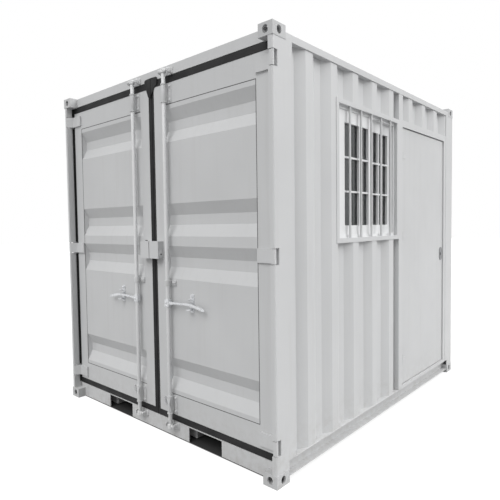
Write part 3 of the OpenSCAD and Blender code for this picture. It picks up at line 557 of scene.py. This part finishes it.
def hammer_head(bm, side, low, high):
    """A forged cam: two blunt horns on a hub at the rod's end."""
    centre = (low + high) / 2
    half = (high - low) / 2
    rings = []
    for out, deep, tall in ((-28, 3, 4), (-26.5, 7, 8), (-18, 9, 11), (-9, 11, 13.5),
                            (9, 11, 13.5), (18, 9, 11), (26.5, 7, 8), (28, 3, 4)):
        rings.append(soft_ring((side * (ROD_X + out * MM), ROD_Y, centre),
                               (0, deep * MM, 0), (0, 0, tall * MM * half / (14 * MM)), 3.2, 16))
    join_rings(bm, rings)
    turned(bm, [(17 * MM, -half), (18.5 * MM, -half + 2 * MM), (18.5 * MM, half - 2 * MM),
                (17 * MM, half)], (side * ROD_X, ROD_Y, centre))


def draw_rod(side):
    """The rod with a cam at each end."""
    def draw(bm):
        foot, head = LOCK_LOW.z, LOCK_HIGH.z
        turned(bm, [(9 * MM, foot), (ROD_R - 1 * MM, foot + 1 * MM), (ROD_R, foot + 3 * MM),
                    (ROD_R, head - 3 * MM), (ROD_R - 1 * MM, head - 1 * MM), (9 * MM, head)],
               (side * ROD_X, ROD_Y, 0), sides=32)
        hammer_head(bm, side, foot + 3 * MM, foot + 31 * MM)
        hammer_head(bm, side, head - 31 * MM, head - 3 * MM)
    return draw


def draw_handle(side):
    """The handle: a forked block on the rod and a drooping flat grip."""
    def draw(bm):
        hub = Vector((side * ROD_X, ROD_Y, HANDLE_Z))
        rings = []
        for z, size in ((-26, 0.86), (-23, 1.0), (23, 1.0), (26, 0.86)):
            rings.append(soft_ring(hub + Vector((0, 0, z * MM)), (20.5 * size * MM, 0, 0),
                                   (0, 18.5 * size * MM, 0), 4.0, 20))
        join_rings(bm, rings)
        bolt(bm, hub + Vector((0, -18 * MM, 0)), OUT, 6 * MM)
        rings = []
        for out, rise, tall, thick in (
                (12, 0, 12, 9), (36, 0, 12, 9), (46, 1, 9.5, 7.5), (70, 3, 7.5, 5.5),
                (130, 6, 7, 5), (185, 8, 8, 5), (232, 6, 9, 5), (270, 0, 10.5, 4.6),
                (320, -10, 11, 4.2), (345, -15, 9.5, 3.6), (352, -16.5, 6.5, 2.6),
                (354.5, -17, 3, 1.4)):
            rings.append(soft_ring(hub + Vector((side * out * MM, 0, rise * MM)),
                                   (0, thick * MM, 0), (0, 0, tall * MM), 3.4, 16))
        join_rings(bm, rings)
    return draw


for label, side in SIDES:
    rod = new_piece("lock_rod_" + label, label + "_rod", ROD_PAINT, draw_rod(side))
    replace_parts(rod, label + "_lock_rod")
    new_piece("rod_handle_" + label, label + "_rod", ZINC, draw_handle(side))


# --------------------------------------------------------- rod fittings

def face_point(side, height):
    """Places a point given across and up from a rod at one height."""
    def place(across, up, depth):
        return Vector((side * ROD_X + across, FRONT + depth, height + up))
    return place


def draw_bearing(side, low, high, flared):
    """A long sleeve on a ribbed plate, with bolts at its corners."""
    middle = (low + high) / 2
    half = (high - low) / 2
    place = face_point(side, middle)

    def draw(bm):
        flat_plate(bm, rounded_outline(42 * MM, half, 10 * MM), 59 * MM, 55.5 * MM, place)
        for across in (-29, 29):
            flat_plate(bm, [(u + across * MM, v) for u, v in
                            rounded_outline(9 * MM, half - 6 * MM, 7 * MM)],
                       56 * MM, 52.5 * MM, place)
            for up in (-0.72, 0.72):
                bolt(bm, place(across * MM, up * half, 52.6 * MM), OUT, 7 * MM)
            for up in (-0.25, 0.25):
                turned(bm, [(5 * MM, 0), (4.4 * MM, 2 * MM), (2 * MM, 3 * MM)],
                       place(across * MM, up * half, 52.6 * MM), OUT, 12)
        flat_plate(bm, [(-13 * MM, -half + 4 * MM), (13 * MM, -half + 4 * MM),
                        (13 * MM, half - 4 * MM), (-13 * MM, half - 4 * MM)],
                   57 * MM, 30 * MM, place)
        centre = (side * ROD_X, ROD_Y, middle)
        turned(bm, [(ROD_R + 0.3 * MM, -half), (16.2 * MM, -half), (17 * MM, -half + 1.5 * MM),
                    (17 * MM, half - 1.5 * MM), (16.2 * MM, half), (ROD_R + 0.3 * MM, half)],
               centre, sides=28, closed=True)
        for up in (-half + 6 * MM, half - 6 * MM):
            turned(bm, [(16.8 * MM, up - 5 * MM), (19.5 * MM, up - 4 * MM),
                        (19.5 * MM, up + 4 * MM), (16.8 * MM, up + 5 * MM)],
                   centre, sides=28, closed=True)
        turned(bm, [(2.2 * MM, 0), (2.2 * MM, 1.5 * MM)],
               (side * ROD_X - 15.8 * MM, ROD_Y - 4 * MM, middle - half * 0.45),
               (-1, -0.25, 0), 10)
        if flared:
            for lean in (-1, 1):
                rings = []
                for up, across, depth, thick in ((-0.1, 15, 20, 3), (0.25, 21, 12, 3.2),
                                                 (0.6, 27, 9, 3.2), (0.9, 33, 12, 3)):
                    rings.append(soft_ring(place(lean * across * MM, up * half, depth * MM),
                                           (thick * MM, 0, 0), (0, 9 * MM, 0), 2.6, 12))
                join_rings(bm, rings)
    return draw


def draw_guide(side, low, high):
    """A short saddle bolted over the rod."""
    middle = (low + high) / 2
    place = face_point(side, middle)

    def draw(bm):
        flat_plate(bm, rounded_outline(58 * MM, 21 * MM, 8 * MM), 59 * MM, 55.5 * MM, place)
        centre = (side * ROD_X, ROD_Y, middle)
        turned(bm, [(ROD_R + 0.3 * MM, -19 * MM), (17 * MM, -19 * MM), (19 * MM, -17 * MM),
                    (19 * MM, 17 * MM), (17 * MM, 19 * MM), (ROD_R + 0.3 * MM, 19 * MM)],
               centre, sides=28, closed=True)
        flat_plate(bm, rounded_outline(14 * MM, 17 * MM, 3 * MM), 57 * MM, 34 * MM, place)
        for lean in (-1, 1):
            flat_plate(bm, [(u + lean * 38 * MM, v) for u, v in
                            rounded_outline(18 * MM, 17 * MM, 6 * MM)],
                       56 * MM, 50 * MM, place)
            for across in (30, 47):
                bolt(bm, place(lean * across * MM, 0, 50 * MM), OUT, 6.4 * MM)
    return draw


def draw_catch(side):
    """The oval handle catch with its shelf, tongue and two bolts."""
    middle = HANDLE_Z + 14 * MM
    across = side * 212 * MM
    place = face_point(side, middle)

    def draw(bm):
        flat_plate(bm, [(u + across, v) for u, v in slot_outline(19 * MM, 62 * MM)],
                   59 * MM, 55 * MM, place)
        flat_plate(bm, [(u + across, v) for u, v in slot_outline(13 * MM, 54 * MM)],
                   55.5 * MM, 53 * MM, place)
        for up in (-46, 46):
            bolt(bm, place(across, up * MM, 53 * MM), OUT, 8 * MM)
        for heights, reach, size in (((-34, -34, -36, -41), (54, 34, 22, 16), 15),
                                     ((23, 24, 26, 31), (54, 40, 30, 24), 12)):
            rings = []
            for up, depth in zip(heights, reach):
                rings.append(soft_ring(place(across, up * MM, depth * MM),
                                       (size * MM, 0, 0), (0, 0, 3.2 * MM), 4.0, 16))
            join_rings(bm, rings)
    return draw


for label, side in SIDES:
    door = label + "_door"
    tall = 125 * MM
    upper = new_piece("upper_bearing_" + label, door, ZINC_PAINT,
                      draw_bearing(side, GUIDE_HIGH.z - tall, GUIDE_HIGH.z, False))
    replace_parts(upper, label + "_rod_guides")
    new_piece("lower_bearing_" + label, door, ZINC_PAINT,
              draw_bearing(side, GUIDE_LOW.z, GUIDE_LOW.z + tall, True))
    new_piece("rod_saddle_" + label, door, ZINC_PAINT,
              draw_guide(side, HANDLE_Z + 104 * MM, HANDLE_Z + 164 * MM))
    new_piece("handle_catch_" + label, door, ZINC, draw_catch(side))


# ---------------------------------------------------------------- keepers

def draw_keepers(bm):
    """Forged cheeks on flared feet, either side of every cam."""
    half = 22 * MM
    middles = (HEADER_EDGE + 1 * MM + half, SILL_EDGE - 1 * MM - half)
    for label, side in SIDES:
        for middle in middles:
            for lean in (-1, 1):
                rings = []
                for depth, inner, outer, tall in ((62.9, 36, 57, 22), (58, 36, 56, 22),
                                                  (52, 36, 50, 20), (34, 36, 47, 17),
                                                  (22, 36.5, 46, 14), (17, 38, 44.5, 10),
                                                  (15.2, 40, 43, 6)):
                    mid, wide = (inner + outer) / 2, (outer - inner) / 2
                    rings.append(soft_ring(
                        (side * ROD_X + lean * mid * MM, FRONT + depth * MM, middle),
                        (wide * MM, 0, 0), (0, 0, tall * MM), 4.5, 16))
                join_rings(bm, rings)


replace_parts(new_piece("cam_keepers", "container", ZINC_PAINT, draw_keepers), "keepers")


# --------------------------------------------------------------- lock box

def draw_box_trim(side):
    """The box's rolled edge and its padlock eye, or a dark pad behind it as painted shade in the
    gap at the box's edge.
    """
    def draw(bm):
        low, high = BOX_LOW.z, BOX_HIGH.z
        edge = BOX_HIGH.x
        if side > 0:
            turned(bm, [(3 * MM, low + 2 * MM), (5 * MM, low + 4 * MM),
                        (5 * MM, high - 4 * MM), (3 * MM, high - 2 * MM)],
                   (edge - 2 * MM, BOX_LOW.y + 4 * MM, 0), sides=16)
            rings = []
            for x, size in ((edge - 1 * MM, 1.0), (edge + 4 * MM, 1.0), (edge + 5.5 * MM, 0.86)):
                rings.append(soft_ring((x, BOX_LOW.y + 25 * MM, low + 34 * MM),
                                       (0, 15 * size * MM, 0), (0, 0, 21 * size * MM), 2.4, 20))
            join_rings(bm, rings)
        else:
            flat_plate(bm, [(-edge - 5 * MM, low + 4 * MM), (-edge + 20 * MM, low + 4 * MM),
                            (-edge + 20 * MM, high + 5 * MM), (-edge - 5 * MM, high + 5 * MM)],
                       LEAF_FACE, LEAF_FACE - 2 * MM, lambda u, v, depth: Vector((u, depth, v)))
    return draw


new_piece("lock_box_trim", "right_door", FRAME_PAINT, draw_box_trim(1))
# A thin black sheet behind the box's left half: painted shade for the gap there.
new_piece("lock_box_shadow_pad", "left_door", RUBBER, draw_box_trim(-1))


def draw_eye_hole_shade(bm):
    """A dark disc of painted shade where the hole in the padlock eye is."""
    turned(bm, [(5.5 * MM, 0), (5.5 * MM, 0.8 * MM), (4.5 * MM, 1.0 * MM)],
           (BOX_HIGH.x + 5.2 * MM, BOX_LOW.y + 24 * MM, BOX_LOW.z + 30 * MM), (1, 0, 0), 16)


new_piece("padlock_eye_hole_shade", "right_door", RUBBER, draw_eye_hole_shade)


# ------------------------------------------------------------ weld lines

WELD_HALF = 2.6 * MM


def weld_bead(bm, start, end, proud, across):
    """A low bead of weld between two points; proud points off the steel."""
    proud, across = Vector(proud), Vector(across)
    start, end = Vector(start), Vector(end)
    rings = []
    for point in (start, end):
        foot, crown = across * WELD_HALF, across * WELD_HALF * 0.55
        lift = proud * WELD_HALF * 0.5
        rings.append([point - foot, point - crown + lift, point + crown + lift, point + foot])
    join_rings(bm, rings)


def draw_leaf_welds(side):
    """The outline of the pressed sheet on a cargo door: weld beads coloured near black as
    painted shade along the seams.
    """
    def draw(bm):
        inner, outer = 128 * MM, 945 * MM
        low, high = 300 * MM, 2244 * MM
        y = LEAF_FACE + 0.2 * MM
        for z in (low, high):
            weld_bead(bm, (side * inner, y, z), (side * outer, y, z), OUT, (0, 0, 1))
        weld_bead(bm, (side * outer, y, low), (side * outer, y, high), OUT, (1, 0, 0))
    return draw


for label, side in SIDES:
    new_piece("panel_weld_shade_" + label, label + "_door", WELD_SHADE, draw_leaf_welds(side))


# ------------------------------------------------------- floor and light

# Painted shade: the floor is coloured dark, without its glow, beneath the box, up to this far
# inside its outline.
SHADE_INSET = 62 * MM
SHADE_BLEND = 4 * MM
FLOOR_REACH = 40.0
FLOOR_DROP = 0.5 * MM
FLOOR_GLOW = 0.80
SKY_POWER = 0.50


def build_stage():
    """A pale floor that shows white all round and keeps its shadow, with painted shade beneath
    the box.
    """
    mesh = bpy.data.meshes.new("floor")
    corners = [(x * FLOOR_REACH, y * FLOOR_REACH, 0)
               for x, y in ((-1, -1), (1, -1), (1, 1), (-1, 1))]
    mesh.from_pydata(corners, [], [(0, 1, 2, 3)])
    floor = bpy.data.objects.new("floor", mesh)
    bpy.context.collection.objects.link(floor)
    floor.location.z = LOW.z - FLOOR_DROP
    material = bpy.data.materials.new("floor_white")
    material.use_nodes = True
    tree = material.node_tree
    skin = tree.nodes["Principled BSDF"]
    skin.inputs["Roughness"].default_value = 0.9
    out = tree.nodes["Material Output"]
    glow = tree.nodes.new("ShaderNodeEmission")
    glow.inputs["Color"].default_value = (1, 1, 1, 1)
    place = tree.nodes.new("ShaderNodeTexCoord")
    axes = tree.nodes.new("ShaderNodeSeparateXYZ")
    tree.links.new(place.outputs["Object"], axes.inputs["Vector"])
    outside = [add_range(tree, add_math(tree, "ABSOLUTE", axes.outputs[axis], 0.0),
                         edge - SHADE_INSET - SHADE_BLEND, edge - SHADE_INSET + SHADE_BLEND)
               for axis, edge in (("X", HIGH.x), ("Y", HIGH.y))]
    clear = add_math(tree, "MAXIMUM", *outside)
    # Near-black floor colour inside the box's outline: painted shade under the box.
    tone = add_mix(tree, clear, (0.02, 0.02, 0.02), (0.26, 0.26, 0.26))
    tree.links.new(tone, skin.inputs["Base Color"])
    tree.links.new(add_math(tree, "MULTIPLY", clear, FLOOR_GLOW), glow.inputs["Strength"])
    path = tree.nodes.new("ShaderNodeLightPath")
    seen = add_math(tree, "MAXIMUM", path.outputs["Is Camera Ray"],
                    path.outputs["Is Transmission Ray"])
    seen = add_math(tree, "MAXIMUM", seen, path.outputs["Is Glossy Ray"])
    both = tree.nodes.new("ShaderNodeAddShader")
    pick = tree.nodes.new("ShaderNodeMixShader")
    tree.links.new(skin.outputs["BSDF"], both.inputs[0])
    tree.links.new(glow.outputs["Emission"], both.inputs[1])
    tree.links.new(seen, pick.inputs["Fac"])
    tree.links.new(skin.outputs["BSDF"], pick.inputs[1])
    tree.links.new(both.outputs["Shader"], pick.inputs[2])
    tree.links.new(pick.outputs["Shader"], out.inputs["Surface"])
    mesh.materials.append(material)


def build_world():
    """An even sky that shows white, also in glass and bright metal."""
    world = bpy.data.worlds.new("soft_sky")
    bpy.context.scene.world = world
    world.use_nodes = True
    tree = world.node_tree
    tree.nodes.clear()
    out = tree.nodes.new("ShaderNodeOutputWorld")
    sky = tree.nodes.new("ShaderNodeBackground")
    sky.inputs["Color"].default_value = (1, 1, 1, 1)
    sky.inputs["Strength"].default_value = SKY_POWER
    seen = tree.nodes.new("ShaderNodeBackground")
    seen.inputs["Color"].default_value = (1, 1, 1, 1)
    seen.inputs["Strength"].default_value = 1.0
    path = tree.nodes.new("ShaderNodeLightPath")
    white = add_math(tree, "MAXIMUM", path.outputs["Is Camera Ray"],
                     path.outputs["Is Transmission Ray"])
    white = add_math(tree, "MAXIMUM", white, path.outputs["Is Glossy Ray"])
    pick = tree.nodes.new("ShaderNodeMixShader")
    tree.links.new(white, pick.inputs["Fac"])
    tree.links.new(sky.outputs["Background"], pick.inputs[1])
    tree.links.new(seen.outputs["Background"], pick.inputs[2])
    tree.links.new(pick.outputs["Shader"], out.inputs["Surface"])


def add_sun(name, heading, height, power, spread):
    """A broad far lamp; heading is where it stands, from -Y towards +X."""
    data = bpy.data.lights.new(name, "SUN")
    data.energy = power
    data.angle = math.radians(spread)
    lamp = bpy.data.objects.new(name, data)
    bpy.context.collection.objects.link(lamp)
    around, up = math.radians(heading), math.radians(height)
    away = Vector((math.sin(around) * math.cos(up), -math.cos(around) * math.cos(up),
                   math.sin(up)))
    lamp_distance = 12
    lamp.location = away * lamp_distance
    lamp.rotation_euler = away.to_track_quat("Z", "Y").to_euler()


build_stage()
build_world()
add_sun("side_light", heading=118, height=38, power=2.35, spread=45)
add_sun("front_light", heading=4, height=50, power=2.05, spread=45)
bpy.context.scene.view_settings.view_transform = "Standard"
